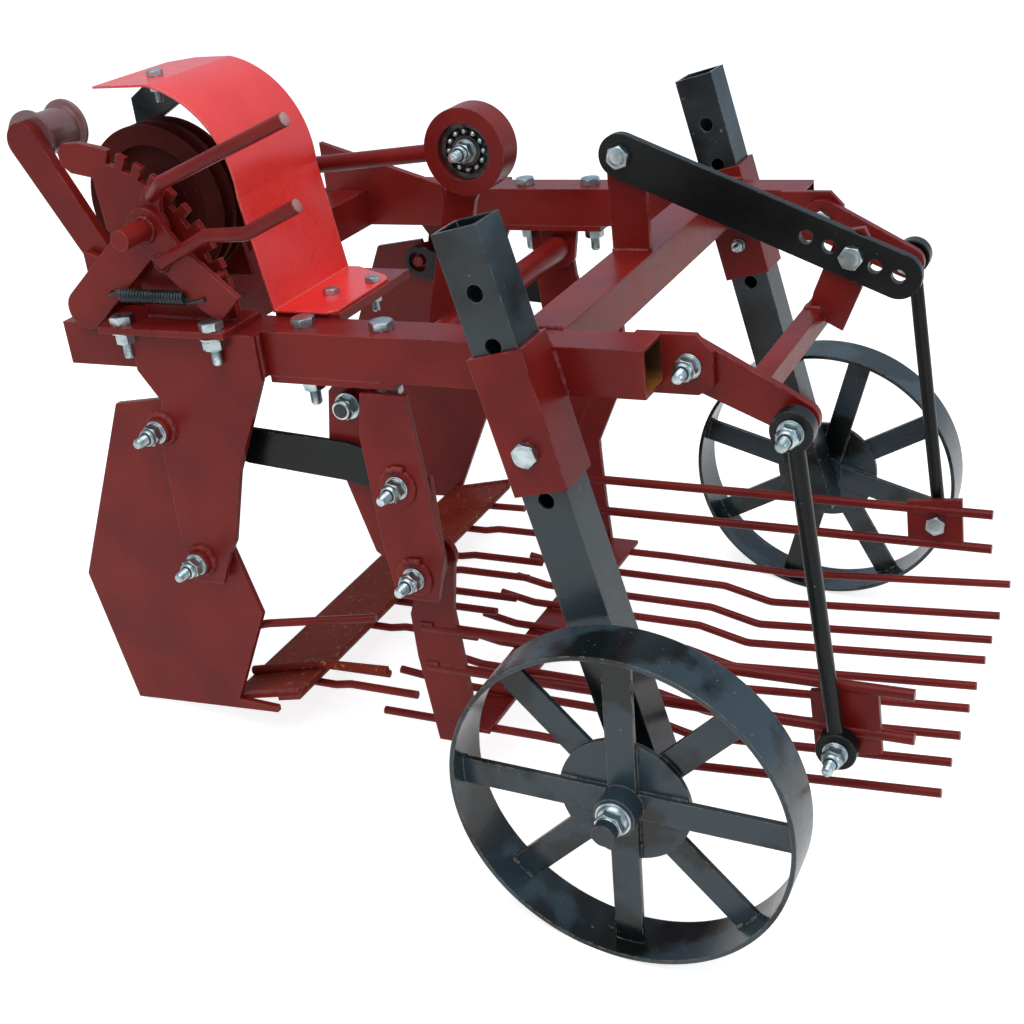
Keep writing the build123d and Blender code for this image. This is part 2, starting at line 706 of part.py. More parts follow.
def tension_roller():
    flange = 25.5
    barrel = 20.0
    inside = ROLLER_PIN + RUNNING
    near, far = ROLLER_WIDTH
    profile = [(inside, near), (flange, near), (flange, near + 3), (barrel, near + 5),
               (barrel, far - 5), (flange, far - 3), (flange, far), (inside, far)]
    return turning(profile, ROLLER)


# Spring between the lever and the pawl, hooked through a hole in each

SPRING_Y = -OUTER - 13
SPRING_RADIUS = 6.0
SPRING_WIRE = 1.5
SPRING_HOLE = 2.0
SPRING_FRONT = (71.0, 32.0)
SPRING_REAR = (174.0, 31.0)


def bore_at_spring_front():
    return pin(SPRING_FRONT, SPRING_HOLE, -OUTER - 8, -OUTER + 2)


def pawl_lever():
    near, far = PAWL_LAYER
    outline = [(137, 105), (158, 77), (208, 33), (186, 12), (170, 20), (128, 63), (113, 78)]
    pawl = left_plate(outline, PAWL_LAYER) + pin(LEVER_HUB, LEVER_RADIUS, -far, -near)
    pawl -= pin(LEVER_HUB, HUB_PIN + FIT, -far - 1, -near)
    pawl -= pin(SPRING_REAR, SPRING_HOLE, -far - 1, -near + 1)
    notch = on_quadrant(NOTCH_TIP - 6, FIRST_TOOTH - 8.75 * NOTCH_PITCH)
    pawl += pin(notch, 4, -near, -QUADRANT[0])
    grip = [(137, HANDLE_Y, 62), (189, HANDLE_Y, 87), (229, HANDLE_Y, 89),
            (284, HANDLE_Y, 113)]
    return pawl + rod(grip, HANDLE, 20)


def tension_spring():
    front_x, front_z = SPRING_FRONT
    rear_x, rear_z = SPRING_REAR
    coil_start = (front_x + 15, SPRING_Y, front_z)
    coil_end = (rear_x - 20, SPRING_Y, rear_z)
    coil = rod([coil_start, coil_end], SPRING_RADIUS)
    front = rod([(front_x, -OUTER - 1, front_z), (front_x, SPRING_Y, front_z), coil_start],
                SPRING_WIRE, 4)
    rear = rod([(rear_x, -OUTER - 7, rear_z), (rear_x, SPRING_Y - 3, rear_z),
                (rear_x - 21, SPRING_Y - 3, rear_z)], SPRING_WIRE, 2)
    return coil + front + rear


parts = {}


def pair(name, part):
    parts["left_" + name] = part
    parts["right_" + name] = right(part)


parts["left_beam"] = left_beam()
parts["right_beam"] = right(beam())
parts["front_cross_tube"] = cross_tube(FRONT_TUBE_X)
parts["rear_cross_tube"] = cross_tube(REAR_TUBE_X)
parts["hitch_plate"] = hitch_plate()
pair("post_sleeve", post_sleeve())
pair("wheel_post", wheel_post())
parts["left_wheel"] = wheel(LEFT_SPOKE_ANGLE)
parts["right_wheel"] = right(wheel(RIGHT_SPOKE_ANGLE))
pair("arm_bracket", arm_bracket())
pair("rocker_lug", rocker_lug())
parts["bar_upright"] = bar_upright()
parts["adjusting_bar"] = adjusting_bar()
parts["rear_rocker"] = rear_rocker()
pair("cheek_strap", cheek_strap())
pair("cheek", cheek())
parts["left_cheek"] += rod(SIDE_ROD, ROD_RADIUS, 20)
parts["knife"] = knife()
parts["comb"] = comb()
parts["torsion_tube"] = torsion_tube()
parts["left_swing_arm"] = left_swing_arm()
parts["right_swing_arm"] = right_swing_arm()
parts["ring_lever"] = ring_lever()
parts["connecting_rod"] = connecting_rod()
parts["ring_bearing"] = ring_bearing()
pair("link_strip", link_strip())
parts["sieve_grid"] = sieve()
parts["left_sieve_side"] = left_sieve_side()
parts["right_sieve_side"] = right_sieve_side()
pair("rear_rod", rear_rod())
parts["left_shaft_plate"] = shaft_plate(LEFT_SHAFT_PLATE_Y)
parts["right_shaft_plate"] = shaft_plate(RIGHT_SHAFT_PLATE_Y)
parts["drive_shaft"] = drive_shaft()
parts["drive_pulley"] = drive_pulley()
parts["belt_guard"] = belt_guard()
parts["guard_strip"] = guard_strip()
parts["guard_foot"] = guard_foot()
parts["tension_base"] = tension_base()
parts["notched_quadrant"] = quadrant()
parts["roller_arm"] = roller_arm()
parts["tension_roller"] = tension_roller()
parts["pawl_lever"] = pawl_lever()
parts["tension_spring"] = tension_spring()

# Parked attitude: the ground touches the cheek toes and both wheels
reach = math.hypot(WHEEL_X - CHEEK_TOE[0], WHEEL_Z - CHEEK_TOE[1])
rise = math.degrees(math.atan2(WHEEL_Z - CHEEK_TOE[1], WHEEL_X - CHEEK_TOE[0]))
pitch = math.degrees(math.asin(WHEEL_RADIUS / reach)) - rise
turned = Rot(0, -pitch, 0)
whole = Compound(children=[turned * part for part in parts.values()]).bounding_box()
stand = Pos(-whole.center().X, 0, -whole.min.Z) * turned

os.makedirs("parts", exist_ok=True)
for name, part in parts.items():
    export_step(stand * part, "parts/" + name + ".step")
print("pitch", pitch, "shift", -whole.center().X, -whole.min.Z)
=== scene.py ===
import math

import bpy
from mathutils import Matrix, Vector


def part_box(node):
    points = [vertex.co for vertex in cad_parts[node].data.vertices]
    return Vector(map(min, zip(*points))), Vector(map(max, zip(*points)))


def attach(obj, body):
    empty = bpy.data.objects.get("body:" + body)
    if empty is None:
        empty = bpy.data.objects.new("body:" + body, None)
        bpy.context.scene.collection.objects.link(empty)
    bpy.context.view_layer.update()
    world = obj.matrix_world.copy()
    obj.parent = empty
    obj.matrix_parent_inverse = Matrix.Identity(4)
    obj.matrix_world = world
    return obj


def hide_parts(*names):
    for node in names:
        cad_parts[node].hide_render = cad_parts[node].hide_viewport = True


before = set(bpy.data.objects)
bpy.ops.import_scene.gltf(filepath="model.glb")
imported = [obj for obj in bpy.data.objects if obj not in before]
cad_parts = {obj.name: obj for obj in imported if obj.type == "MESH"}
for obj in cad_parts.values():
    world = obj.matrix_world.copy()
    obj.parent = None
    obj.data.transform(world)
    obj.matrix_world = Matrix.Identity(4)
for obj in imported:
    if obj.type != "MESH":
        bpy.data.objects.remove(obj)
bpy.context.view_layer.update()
bpy.ops.object.select_all(action="DESELECT")

# Parked stance
# The digger is drawn upright in its own axes, X rearward from the front of the
# beams, Z up from their tops, and it stands nose down on its cheeks. place()
# turns a point of those axes, in millimetres, into the parked one in metres.

PITCH = math.radians(10.387157)
AXLE = Vector((549.0, -328.5, -360.0))
TURN = Matrix.Rotation(-PITCH, 4, "Y")
wheel_low, wheel_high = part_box("left_wheel")
axle_parked = (wheel_low + wheel_high) / 2
axle_parked.y = AXLE.y / 1000
STANCE = Matrix.Translation(axle_parked) @ TURN @ Matrix.Scale(0.001, 4) @ Matrix.Translation(-AXLE)


def place(x, y, z):
    return STANCE @ Vector((x, y, z))


# Camera
# The viewpoint that the photograph was taken from: left of the rear end and
# above it, with a short telephoto lens, its place worked out on the frame.

VIEWPOINT = (965.0, -1254.5, 393.0)
VIEW_AHEAD = Vector((-0.421, 0.798, -0.430))
VIEW_UP = Vector((-0.093, 0.434, 0.896))
camera_data = bpy.data.cameras.new("camera")
camera_data.sensor_width = 36.0
camera_data.lens = 53.24
camera_data.clip_end = 100.0
camera = bpy.data.objects.new("camera", camera_data)
bpy.context.scene.collection.objects.link(camera)
bpy.context.scene.camera = camera
look = (TURN @ VIEW_AHEAD).normalized()
side = look.cross(TURN @ VIEW_UP).normalized()
up = side.cross(look)
camera.matrix_world = Matrix.Translation(place(*VIEWPOINT)) @ Matrix(
    (side, up, -look)).transposed().to_4x4()

# Light and floor
# An overcast sky from all round, a large soft lamp above the left side and a
# weaker one behind. The floor is pale and keeps the shadow.

bpy.context.scene.view_settings.view_transform = "Standard"


class Wire:
    """A socket of a node tree that sums and products can be written with."""

    def __init__(self, tree, socket=None):
        self.tree = tree
        self.socket = socket

    def node(self, kind, settings=(), sockets=(), output=0):
        made = self.tree.nodes.new(kind)
        for name, value in dict(settings).items():
            if name == "stops":
                ramp = made.color_ramp
                while len(ramp.elements) < len(value):
                    ramp.elements.new(1.0)
                for element, (where, colour) in zip(ramp.elements, value):
                    element.position = where
                    element.color = colour
            else:
                setattr(made, name, value)
        for name, value in dict(sockets).items():
            target = made.inputs[name]
            if isinstance(value, Wire):
                self.tree.links.new(value.socket, target)
            else:
                target.default_value = value
        return Wire(self.tree, made.outputs[output]) if made.outputs else made

    def math(self, operation, first, second=0.0):
        return self.node("ShaderNodeMath", {"operation": operation}, {0: first, 1: second})

    def __add__(self, other):
        return self.math("ADD", self, other)

    def __radd__(self, other):
        return self.math("ADD", other, self)

    def __sub__(self, other):
        return self.math("SUBTRACT", self, other)

    def __rsub__(self, other):
        return self.math("SUBTRACT", other, self)

    def __mul__(self, other):
        return self.math("MULTIPLY", self, other)

    def __rmul__(self, other):
        return self.math("MULTIPLY", other, self)

    def __abs__(self):
        return self.math("ABSOLUTE", self)

    def above(self, low, high):
        """0 below low, 1 above high, and smooth between."""
        return self.node("ShaderNodeMapRange", {"interpolation_type": "SMOOTHSTEP"},
                         {"Value": self, "From Min": low, "From Max": high})

    def largest(self, other):
        return self.math("MAXIMUM", self, other)

    def tint(self, under, over):
        """Colour under where this is 0, and over where it is 1."""
        return self.node("ShaderNodeMix", {"data_type": "RGBA"},
                         {0: self, 6: under, 7: over}, output=2)


world = bpy.data.worlds.new("sky")
bpy.context.scene.world = world
world.use_nodes = True
world.node_tree.nodes.clear()
sky = Wire(world.node_tree)
ray = [sky.node("ShaderNodeLightPath", output=name)
       for name in ("Is Camera Ray", "Is Glossy Ray", "Is Transmission Ray")]
seen = ray[0]
shine = ray[1].largest(ray[2])
SKY = (0.86, 0.92, 1.0, 1.0)
MIRRORED_SKY = (0.64, 0.82, 1.0, 1.0)
WHITE = (1.0, 1.0, 1.0, 1.0)
strength = 0.50 + seen * 0.50 + shine * 0.20
backdrop = sky.node("ShaderNodeBackground", (), {
    "Color": seen.tint(shine.tint(SKY, MIRRORED_SKY), WHITE), "Strength": strength})
sky.node("ShaderNodeOutputWorld", (), {"Surface": backdrop})

bpy.ops.mesh.primitive_plane_add(size=30.0, location=(0.0, 0.0, 0.0))
floor = bpy.context.object
floor.name = "floor"
floor_finish = bpy.data.materials.new("floor")
floor_finish.use_nodes = True
floor_finish.node_tree.nodes.clear()
ground = Wire(floor_finish.node_tree)
ground_seen = ground.node("ShaderNodeLightPath", output="Is Camera Ray")
matt = ground.node("ShaderNodeBsdfDiffuse", (), {"Color": (0.80, 0.80, 0.80, 1.0)})
ground_shine = ground.node("ShaderNodeLightPath", output="Is Glossy Ray")
glow = ground.node("ShaderNodeEmission", (), {
    "Color": WHITE, "Strength": ground_seen * 0.74 + ground_shine * 0.50})
ground.node("ShaderNodeOutputMaterial", (), {
    "Surface": ground.node("ShaderNodeAddShader", (), {0: matt, 1: glow})})
floor.data.materials.append(floor_finish)

LAMP_AIM = Vector((0.0, 0.0, 0.25))
LAMPS = {
    # name: (place, size, power, colour)
    "sky_lamp": ((-0.2, -0.9, 2.4), 2.2, 38.0, (1.0, 0.96, 0.90)),
    "rear_lamp": ((2.4, 0.4, 1.6), 1.4, 11.0, (0.94, 0.97, 1.0)),
}
for name, (spot, size, power, colour) in LAMPS.items():
    lamp_data = bpy.data.lights.new(name, "AREA")
    lamp_data.size = size
    lamp_data.energy = power
    lamp_data.color = colour
    lamp = bpy.data.objects.new(name, lamp_data)
    bpy.context.scene.collection.objects.link(lamp)
    lamp.location = spot
    aim = LAMP_AIM - lamp.location
    lamp.rotation_euler = aim.to_track_quat("-Z", "Y").to_euler()

# Side beams and cross tubes
# Square steel tube under dark red enamel, brushed on, thin along the edges and
# chipped there. The beams are open at both ends and rust inside. The cross
# tubes stand between them, held by a run of weld down each corner.

BEAM_MIDDLE = 230.0
BEAM_DROP = -20.0
HOLLOW = 17.6
EDGE_ROUND = 0.0018
RELIEF = 0.0005
CHIP_SPREAD = 0.03
PALE_RUST = (0.36, 0.13, 0.025, 1)
DARK_RUST = (0.030, 0.010, 0.005, 1)


def enamel(name, thin, thick, scuff, bare, gloss, chips, sheen=0.5, rusty_hollow=False,
           blend=0.14, wear=0.10):
    """Brushed paint on steel, with worn edges, chips and dust in the clouds; in the black paints
    the paler bluish clouds are also painted sky sheen.
    """
    finish = bpy.data.materials.new(name)
    finish.use_nodes = True
    finish.node_tree.nodes.clear()
    wire = Wire(finish.node_tree)
    here, turned_by, scale = STANCE.inverted().decompose()
    at_rest = wire.node("ShaderNodeTexCoord", output="Object")
    spot = wire.node("ShaderNodeMapping", (), {
        "Vector": at_rest, "Location": here, "Rotation": turned_by.to_euler(), "Scale": scale})
    stretched = wire.node("ShaderNodeMapping", (), {"Vector": spot, "Scale": (0.05, 0.10, 0.16)})
    cloud = wire.node("ShaderNodeTexNoise", (), {"Vector": spot, "Scale": 0.013, "Detail": 5.0})
    brush = wire.node("ShaderNodeTexNoise", (), {"Vector": stretched, "Scale": 1.0, "Detail": 3.0})
    grain = wire.node("ShaderNodeTexNoise", (), {"Vector": spot, "Scale": 0.16, "Detail": 4.0})
    fleck = wire.node("ShaderNodeTexNoise", (), {"Vector": spot, "Scale": 0.55, "Detail": 2.0})
    rounded = wire.node("ShaderNodeBevel", {"samples": 4}, {"Radius": EDGE_ROUND})
    flat = wire.node("ShaderNodeNewGeometry", output="Normal")
    facing = wire.node("ShaderNodeVectorMath", {"operation": "DOT_PRODUCT"},
                       {0: rounded, 1: flat}, output="Value")
    edge = (1.0 - facing).above(0.02, 0.14)
    # Thin and thick paint mixed in clouds; where the thick colour is a paler blue, as in the black
    # paints, these clouds are painted sky sheen.
    tone = cloud.above(0.50 - blend, 0.50 + blend).tint(thin, thick)
    rubbed = edge * (cloud + grain).above(0.80, 1.10) * 0.75
    tone = rubbed.tint(tone, scuff)
    chipped = (grain * 0.7 + fleck * 0.3 + edge * wear).above(chips, chips + CHIP_SPREAD)
    tone = chipped.tint(tone, bare)
    rough = gloss + (brush - 0.5) * 0.16 + (cloud - 0.5) * 0.20 + chipped * 0.35
    height = brush * 0.5 + grain * 0.4 + fleck * 0.1 - chipped * 0.6
    if rusty_hollow:
        axes = wire.node("ShaderNodeSeparateXYZ", (), {"Vector": spot})
        across = Wire(wire.tree, axes.socket.node.outputs["Y"])
        rise = Wire(wire.tree, axes.socket.node.outputs["Z"])
        off = abs(abs(across) - BEAM_MIDDLE).largest(abs(rise - BEAM_DROP))
        inside = 1.0 - off.above(HOLLOW - 0.2, HOLLOW)
        low = 1.0 - (rise + cloud * 10.0).above(-32.0, -20.0)
        rust = (low * 0.85 + grain * 0.15).tint(DARK_RUST, PALE_RUST)
        tone = inside.tint(tone, rust)
        rough = rough + inside * 0.5
    relief = wire.node("ShaderNodeBump", (), {
        "Height": height, "Distance": RELIEF, "Strength": 0.32, "Normal": rounded})
    surface = wire.node("ShaderNodeBsdfPrincipled", (), {
        "Base Color": tone, "Roughness": rough, "Normal": relief, "Specular IOR Level": sheen})
    wire.node("ShaderNodeOutputMaterial", (), {"Surface": surface})
    return finish


def dress(finish, *names):
    """Solids of the frame in a finish, their shape left as it is."""
    for name in names:
        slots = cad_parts[name].data.materials
        slots.clear()
        slots.append(finish)


maroon = enamel("maroon_paint", (0.158, 0.0085, 0.0070, 1), (0.212, 0.0145, 0.0105, 1),
                (0.42, 0.13, 0.13, 1), (0.24, 0.09, 0.07, 1), gloss=0.31, chips=0.70,
                sheen=0.20, rusty_hollow=True)
dress(maroon, "left_beam", "right_beam", "front_cross_tube", "rear_cross_tube")

RIPPLE = 1.9


def only(piece):
    """Selects one piece and makes it the active one."""
    bpy.ops.object.select_all(action="DESELECT")
    piece.select_set(True)
    bpy.context.view_layer.objects.active = piece


def ripple_of_weld():
    """One frozen ripple of a weld: a flat drop with its rear half drawn down."""
    bpy.ops.mesh.primitive_uv_sphere_add(segments=10, ring_count=6, radius=1.0)
    drop = bpy.context.object
    bpy.ops.object.mode_set(mode="EDIT")
    bpy.ops.mesh.select_all(action="DESELECT")
    bpy.ops.object.mode_set(mode="OBJECT")
    for vertex in drop.data.vertices:
        vertex.select = vertex.co.x > 0.2
    bpy.ops.object.mode_set(mode="EDIT")
    bpy.ops.transform.resize(value=(1.0, 0.8, 0.8))
    bpy.ops.transform.translate(value=(-0.25, 0.0, 0.0))
    bpy.ops.mesh.select_all(action="SELECT")
    bpy.ops.transform.resize(value=(0.75, 1.0, 1.0))
    bpy.ops.object.mode_set(mode="OBJECT")
    bpy.ops.object.shade_smooth()
    return drop


ripple = ripple_of_weld()
ripple.hide_render = True
weld_lumps = bpy.data.textures.new("weld_lumps", "CLOUDS")
weld_lumps.noise_scale = 1.1


def bead(start, end, thick=3.0):
    """A straight run of weld ripples between two points of the machine."""
    start, end = Vector(start), Vector(end)
    run = ripple.copy()
    run.data = ripple.data.copy()
    run.hide_render = False
    bpy.context.scene.collection.objects.link(run)
    only(run)
    row = run.modifiers.new("row", "ARRAY")
    row.use_relative_offset = False
    row.use_constant_offset = True
    row.constant_offset_displace = (RIPPLE / thick, 0.0, 0.0)
    row.count = max(2, round((end - start).length / RIPPLE) + 1)
    lumps = run.modifiers.new("lumps", "DISPLACE")
    lumps.texture = weld_lumps
    lumps.strength = 0.45
    lumps.mid_level = 0.5
    bpy.ops.object.modifier_apply(modifier="row")
    bpy.ops.object.modifier_apply(modifier="lumps")
    heading = (end - start).to_track_quat("X", "Z").to_matrix().to_4x4()
    run.data.transform(STANCE @ Matrix.Translation(start) @ heading @ Matrix.Scale(thick, 4))
    return run


def ring_bead(centre, radius, thick=2.6, steps=16):
    """Weld all round a pin or tube that stands in Y, as (X, Y, Z) and radius."""
    x, y, z = centre
    corner = [(x + radius * math.cos(2 * math.pi * k / steps), y,
               z + radius * math.sin(2 * math.pi * k / steps)) for k in range(steps + 1)]
    return [bead(a, b, thick) for a, b in zip(corner, corner[1:])]


def joined(name, pieces, finish, body):
    """Many like pieces as one, in their finish, carried by a body."""
    bpy.ops.object.select_all(action="DESELECT")
    for piece in pieces:
        piece.select_set(True)
    bpy.context.view_layer.objects.active = pieces[0]
    bpy.ops.object.join()
    whole = bpy.context.object
    whole.name = name
    whole.data.name = name
    whole.data.materials.clear()
    whole.data.materials.append(finish)
    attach(whole, body)
    return whole


def welds(name, runs, body="frame"):
    """Runs of weld as one piece, under the same enamel as what they hold."""
    return joined(name, runs, maroon, body)


BEAM_IN = 210.0
corner_runs = []
for side_y in (-BEAM_IN, BEAM_IN):
    for x in (60.0, 441.6, 481.6):
        corner_runs.append(bead((x, side_y, -38), (x, side_y, -1), 2.8))
    corner_runs.append(bead((443, side_y, 0), (480, side_y, 0), 2.0))
    corner_runs.append(bead((22, side_y, 0), (58, side_y, 0), 2.0))
welds("cross_tube_welds", corner_runs)

# Hitch plate
# Thick plate with two flame-cut ears on the middle of the front cross tube, the
# upright pin hole bored through both. Welded down its sides and round the ears.

dress(maroon, "hitch_plate")
hitch_runs = []
for y in (-30.0, 30.0):
    for z in (18.0, 26.0, -68.0, -60.0):
        hitch_runs.append(bead((12, y * 0.95, z), (12, -y * 0.95, z), 2.4))
for y in (-45.0, 45.0):
    hitch_runs.append(bead((20, y, -39), (20, y, -1), 2.8))
welds("hitch_welds", hitch_runs)

# Wheel posts and their sleeves
# Square tube in black enamel with a row of holes to set the height by, in a
# sleeve of folded plate welded to the outside of each beam. A zinc-plated bolt
# goes through the sleeve and the post, with a small nut on the far side.

POST_LEAN = math.radians(13.5)
SLEEVE_BOLT = 298.2
HEX = 18.0
STUD = 5.2

# The paler bluish clouds of this black paint are partly dust and partly painted sky sheen, patches
# of reflection put into the colour of the posts.
black = enamel("black_paint", (0.0030, 0.0050, 0.0056, 1), (0.0230, 0.0370, 0.0440, 1),
               (0.16, 0.16, 0.15, 1), (0.28, 0.26, 0.23, 1), gloss=0.24, chips=0.67, sheen=0.42)
dress(black, "left_wheel_post", "right_wheel_post")
dress(maroon, "left_post_sleeve", "right_post_sleeve")


def on_post(across, along):
    """(X, Z) of a point beside and along the leaning post, from the axle up."""
    return (AXLE.x + across * math.cos(POST_LEAN) - along * math.sin(POST_LEAN),
            AXLE.z + across * math.sin(POST_LEAN) + along * math.cos(POST_LEAN))


sleeve_runs = []
for y in (-250.0, 250.0):
    for across in (-24.0, 24.0):
        low, high = on_post(across, 326.0), on_post(across, 360.0)
        sleeve_runs.append(bead((low[0], y, low[1]), (high[0], y, high[1]), 3.0))
    left, rest = on_post(-22.0, 376.0), on_post(22.0, 364.0)
    sleeve_runs.append(bead((left[0] + 1, y, 1), (rest[0] + 1, y, 1), 2.6))
welds("sleeve_welds", sleeve_runs)


def plating(name, pale, dull, rough, metallic=1.0):
    """Bright zinc on steel, with greenish clouds and a dull bloom."""
    finish = bpy.data.materials.new(name)
    finish.use_nodes = True
    finish.node_tree.nodes.clear()
    wire = Wire(finish.node_tree)
    at_rest = wire.node("ShaderNodeTexCoord", output="Object")
    cloud = wire.node("ShaderNodeTexNoise", (), {"Vector": at_rest, "Scale": 90.0, "Detail": 3.0})
    scratch = wire.node("ShaderNodeTexNoise", (), {"Vector": at_rest, "Scale": 700.0,
                                                   "Detail": 2.0})
    rounded = wire.node("ShaderNodeBevel", {"samples": 4}, {"Radius": 0.0006})
    tone = cloud.above(0.35, 0.65).tint(pale, dull)
    relief = wire.node("ShaderNodeBump", (), {
        "Height": scratch, "Distance": 0.0002, "Strength": 0.3, "Normal": rounded})
    surface = wire.node("ShaderNodeBsdfPrincipled", (), {
        "Base Color": tone, "Roughness": rough + (cloud - 0.5) * 0.3 + (scratch - 0.5) * 0.2,
        "Normal": relief, "Metallic": metallic})
    wire.node("ShaderNodeOutputMaterial", (), {"Surface": surface})
    return finish


zinc = plating("bright_zinc", (0.54, 0.61, 0.62, 1), (0.31, 0.38, 0.38, 1), 0.34)
nylon = plating("dark_insert", (0.012, 0.013, 0.016, 1), (0.02, 0.022, 0.026, 1), 0.45, 0.0)


def turned(profile, sides=28):
    """A lathe-turned solid on Z, from its rings as (Z, radius), closed at both ends."""
    height, radius = profile[0]
    bpy.ops.object.select_all(action="DESELECT")
    bpy.ops.mesh.primitive_circle_add(vertices=sides, radius=radius, fill_type="NGON")
    solid = bpy.context.object
    bpy.ops.object.mode_set(mode="EDIT")
    bpy.ops.mesh.select_all(action="SELECT")
    bpy.ops.transform.translate(value=(0.0, 0.0, height))
    for (low, inner), (high, outer) in zip(profile, profile[1:]):
        bpy.ops.mesh.extrude_region_move(TRANSFORM_OT_translate={"value": (0.0, 0.0, high - low)})
        if outer != inner:
            ratio = outer / inner
            bpy.ops.transform.resize(value=(ratio, ratio, 1.0))
    bpy.ops.mesh.select_all(action="SELECT")
    bpy.ops.mesh.normals_make_consistent(inside=False)
    bpy.ops.object.mode_set(mode="OBJECT")
    bpy.ops.object.shade_smooth_by_angle(angle=math.radians(35.0))
    return solid


def hexagon(low, high, across=HEX, both_ends=False):
    """A hexagon on Z with the corners turned off at its outer end, or at both."""
    bpy.ops.object.select_all(action="DESELECT")
    bpy.ops.mesh.primitive_cylinder_add(vertices=6, radius=across / math.sqrt(3.0),
                                        depth=high - low, location=(0.0, 0.0, (low + high) / 2))
    hexed = bpy.context.object
    bpy.ops.object.transform_apply(location=True)
    flat = across / 2 * 0.97
    wide = across / 2 * 1.2
    start = [(low, flat), (low + 1.4, wide)] if both_ends else [(low, wide)]
    chamfer = turned(start + [(high - 1.4, wide), (high, flat)], 36)
    only(hexed)
    cut = hexed.modifiers.new("corners", "BOOLEAN")
    cut.operation = "INTERSECT"
    cut.object = chamfer
    bpy.ops.object.modifier_apply(modifier="corners")
    bpy.data.objects.remove(chamfer)
    bpy.ops.object.shade_smooth_by_angle(angle=math.radians(25.0))
    return hexed


def stud(low, high, radius=STUD):
    """A threaded end with its point turned off."""
    pitch = 1.75
    rings = [(low, radius)]
    turns = int((high - low - 2.0) / pitch)
    for k in range(turns):
        rings.append((low + (k + 0.5) * pitch, radius * 0.86))
        rings.append((low + (k + 1) * pitch, radius))
    rings.append((high - 0.4, radius * 0.78))
    rings.append((high, radius * 0.62))
    return turned(rings, 20)


def as_one(*pieces):
    """Parts of one fastener joined, kept out of sight as the one to copy."""
    bpy.ops.object.select_all(action="DESELECT")
    for piece in pieces:
        piece.select_set(True)
    bpy.context.view_layer.objects.active = pieces[0]
    bpy.ops.object.join()
    bpy.context.object.hide_render = True
    return bpy.context.object


UP = Vector((0.0, 0.0, 1.0))
DOWN = -UP
LEFT = Vector((0.0, -1.0, 0.0))
RIGHT = -LEFT
HANDS = ((-1, "left", LEFT), (1, "right", RIGHT))


def both_sides(x, y, z, outward=True):
    """The same seat on the left and then on the right side, facing out or in."""
    facings = (LEFT, RIGHT) if outward else (RIGHT, LEFT)
    return [((x, -y, z), facings[0]), ((x, y, z), facings[1])]


bolt_head = as_one(turned([(0.0, 9.6), (0.7, 9.6)]),
                   hexagon(0.6, 7.6, across=19.0),
                   turned([(7.4, 7.6), (7.7, 7.2), (7.85, 5.0)], 24))
lock_nut = as_one(turned([(0.0, 11.6), (1.6, 11.6), (2.0, 11.2)]),
                  turned([(2.0, 10.6), (3.4, 10.6), (3.8, 10.2)]),
                  hexagon(3.8, 12.6, both_ends=True),
                  turned([(12.0, 8.8), (15.4, 8.6), (17.4, 7.6), (18.0, 6.6)]),
                  stud(17.0, 32.0))
lock_insert = as_one(turned([(17.6, 6.7), (18.4, 6.6), (18.6, 6.0)], 24))
plain_nut = as_one(turned([(0.0, 11.6), (1.6, 11.6), (2.0, 11.2)]),
                   hexagon(2.0, 11.5, both_ends=True),
                   stud(11.0, 26.0))


def fasten(name, pattern, places, body, finish=None, size=1.0):
    """Copies of one fastener, each seated at (X, Y, Z) and facing a direction."""
    copies = []
    for index, (seat, facing) in enumerate(places):
        copy = pattern.copy()
        copy.data = pattern.data.copy()
        copy.hide_render = False
        bpy.context.scene.collection.objects.link(copy)
        turn = Matrix.Rotation(math.radians(17.0 + 37.0 * index), 4, "Z")
        heading = facing.to_track_quat("Z", "Y").to_matrix().to_4x4()
        copy.data.transform(STANCE @ Matrix.Translation(seat) @ heading @ turn
                            @ Matrix.Scale(size, 4))
        copies.append(copy)
    return joined(name, copies, finish or zinc, body)


def lock(name, places, body, size=0.93):
    """Lock nuts with the dark insert that shows round each stud."""
    fasten(name, lock_nut, places, body, size=size)
    fasten(name + "_inserts", lock_insert, places, body, nylon, size=size)


bolt_x, bolt_z = on_post(0.0, SLEEVE_BOLT)
fasten("sleeve_bolt_heads", bolt_head, both_sides(bolt_x, 298, bolt_z), "frame")
fasten("sleeve_bolt_nuts", plain_nut, both_sides(bolt_x, 250, bolt_z, outward=False), "frame",
       size=0.62)

# Wheels
# A hoop of flat bar on eight flat spokes that lie in turn on both faces of a
# disc, in black enamel worn bright on the rim. A plated washer and a nut hold
# each wheel on its axle. Short runs of weld hold the spokes to disc and hoop.

HUB = Vector((AXLE.x, 0.0, AXLE.z))
AXLE_NUT_Y = 355.5
SPOKE_FACES = (331.0, 326.0)
SPOKES = 8
DISC_EDGE = 57.5
HOOP_EDGE = 144.0
# Its sharper bluish clouds are painted sky reflection, the bright patches on rims and spokes; the
# tan chips along the edges are real wear.
wheel_black_sky_sheen = enamel("wheel_paint_sky_sheen", (0.0045, 0.0070, 0.0070, 1), (0.0290, 0.0500, 0.0640, 1),
                     (0.22, 0.20, 0.17, 1), (0.32, 0.24, 0.16, 1), gloss=0.24, chips=0.67,
                     sheen=0.42, blend=0.05, wear=0.17)
dress(wheel_black_sky_sheen, "left_wheel", "right_wheel")
axle_nut = as_one(turned([(0.0, 17.4), (2.2, 17.4), (2.8, 16.8)], 36),
                  turned([(2.8, 15.6), (5.0, 15.0), (7.0, 13.2)], 36),
                  hexagon(4.0, 15.0, across=24.0),
                  turned([(14.6, 11.6), (17.0, 11.3), (18.0, 10.4)], 32))
FIRST_SPOKE = {"left": -2.0, "right": 28.0}
